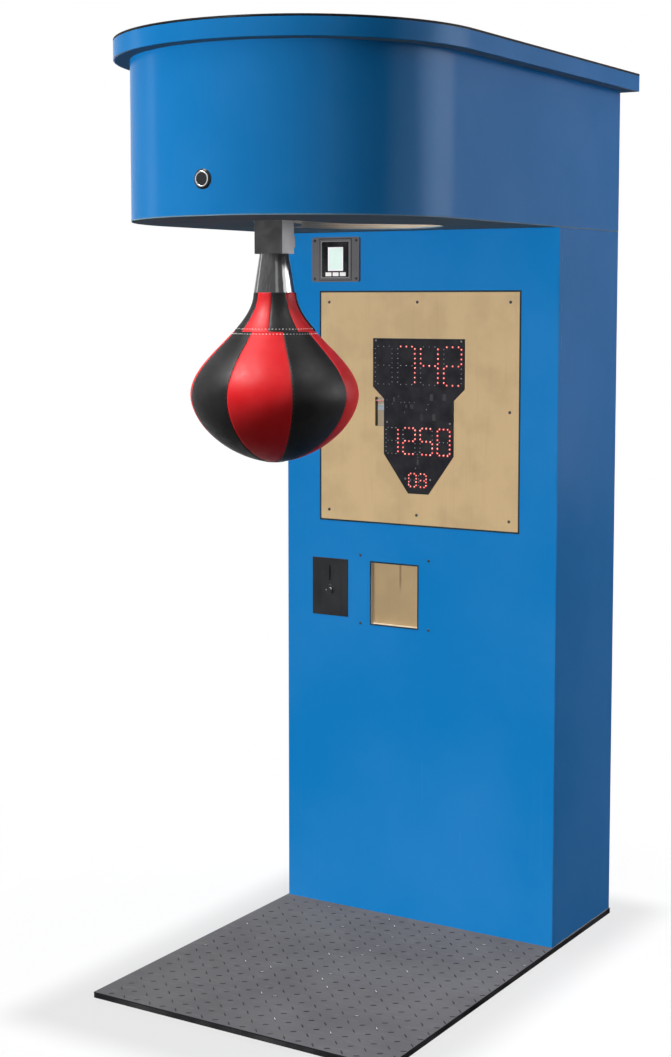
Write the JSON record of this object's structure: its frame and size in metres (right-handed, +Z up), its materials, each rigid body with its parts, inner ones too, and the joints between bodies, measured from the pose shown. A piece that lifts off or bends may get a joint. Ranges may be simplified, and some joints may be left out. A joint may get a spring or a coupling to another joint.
{
  "type": "boxing arcade machine",
  "caption": "Arcade strength tester: a leather ball on a swinging arm under a round-nosed head, over a cabinet with a score display and a tread platform.",
  "frame": {"origin": "middle of the bounding box, on the floor", "axes": "+Z up, -Y towards the player, +X to the player's right"},
  "size_m": [0.788, 1.237, 2.021],
  "materials": {
    "edge_black": "black painted plywood edge",
    "tread_grey": "grey tread sheet with a raised pattern",
    "blue_board": "blue laminate, satin",
    "plywood": "bare plywood",
    "black_laminate": "black laminate",
    "steel": "zinc-plated steel",
    "sleeve_steel": "glossy grey paint",
    "dark_screw": "blackened steel",
    "display_black": "black circuit board and glass",
    "led_red": "lit red light",
    "led_clear": "unlit light",
    "cable_red": "red cable jacket",
    "terminal_grey": "grey moulded housing",
    "screen_mint": "blank pale screen",
    "pad_white": "blank white label",
    "black_plastic": "black moulded plastic",
    "grey_sheet": "grey sheet steel",
    "circuit_green": "green circuit board",
    "arm_paint": "dark grey powder coat",
    "rubber": "black rubber",
    "bronze": "sintered bronze",
    "leather_red": "glossy red leather",
    "leather_black": "glossy black leather"
  },
  "bodies": {
    "cabinet": {"base_board": "edge_black", "tread_sheet": "tread_grey", "cabinet_left_side": "blue_board", "cabinet_right_side": "blue_board", "cabinet_front": "blue_board", "rear_frame": "blue_board", "head_wrap": "blue_board", "head_back_panel": "blue_board", "lid_edge_band": "blue_board", "cabinet_top_board": "plywood", "corner_battens": "plywood", "panel_backing_frame": "plywood", "score_panel": "plywood", "recess_board": "plywood", "head_floor_board": "plywood", "head_battens": "plywood", "head_bottom_sheet": "black_laminate", "lid_board": "black_laminate", "lid_top_sheet": "black_laminate", "door_hinge_fixed_leaves": "steel", "frame_bolts": "steel", "hinge_plates": "steel", "hinge_pins": "steel", "stop_bar": "steel", "latch_spring": "steel", "start_button_ring": "steel", "coin_chute": "steel", "front_screws": "dark_screw", "display_board": "display_black", "terminal_face": "display_black", "lit_leds": "led_red", "dark_leds": "led_clear", "display_cable": "cable_red", "terminal_housing": "terminal_grey", "terminal_screen": "screen_mint", "terminal_pads": "pad_white", "coin_plate": "black_plastic", "coin_mech": "black_plastic", "power_inlet": "black_plastic", "speed_sensor": "black_plastic", "start_button_bezel": "black_plastic", "latch_solenoid": "black_plastic", "cash_box": "grey_sheet", "power_supply": "grey_sheet", "controller_board": "circuit_green", "rubber_bumpers": "rubber"},
    "ball_arm": {"arm_tube": "arm_paint", "arm_bushes": "bronze", "neck_sleeve": "sleeve_steel", "ball_bladder": "rubber", "ball_red_panels": "leather_red", "ball_black_panels": "leather_black"},
    "latch": {"latch_hook": "steel"},
    "plunger": {"latch_plunger": "steel"},
    "start_button": {"start_button_cap": "black_plastic"},
    "coin_return": {"coin_return_button": "black_plastic"},
    "rear_door": {"rear_door": "blue_board", "door_hinge_door_leaves": "steel", "door_lock_barrel": "steel"},
    "lock_cam": {"door_lock_cam": "steel"}
  },
  "joints": [
    {"name": "ball_swing", "type": "hinge", "parent": "cabinet", "child": "ball_arm", "pos_m": [0, -0.3395, 1.665], "axis": [1, 0, 0], "range_deg": [-25, 90]},
    {"name": "latch_turn", "type": "hinge", "parent": "cabinet", "child": "latch", "pos_m": [0, -0.2985, 1.76], "axis": [1, 0, 0], "range_deg": [0, 16], "stiffness_Nm_per_rad": 0.5, "springref_deg": -5.73},
    {"name": "plunger_slide", "type": "slide", "parent": "cabinet", "child": "plunger", "axis": [0, 1, 0], "range_m": [-0.009, 0]},
    {"name": "start_press", "type": "slide", "parent": "cabinet", "child": "start_button", "axis": [0, 1, 0], "range_m": [0, 0.004], "stiffness_N_per_m": 400, "springref_m": -0.002},
    {"name": "coin_return_press", "type": "slide", "parent": "cabinet", "child": "coin_return", "axis": [0, 1, 0], "range_m": [0, 0.005], "stiffness_N_per_m": 400, "springref_m": -0.002},
    {"name": "door_swing", "type": "hinge", "parent": "cabinet", "child": "rear_door", "pos_m": [-0.3435, 0.59, 0.825], "axis": [0, 0, 1], "range_deg": [0, 110]},
    {"name": "lock_turn", "type": "hinge", "parent": "rear_door", "child": "lock_cam", "pos_m": [0.304, 0.5525, 0.825], "axis": [0, 1, 0], "range_deg": [0, 90]}
  ],
  "couplings": [
    {"joint": "plunger_slide", "follows": "latch_turn", "m_per_rad": -0.030805}
  ]
}
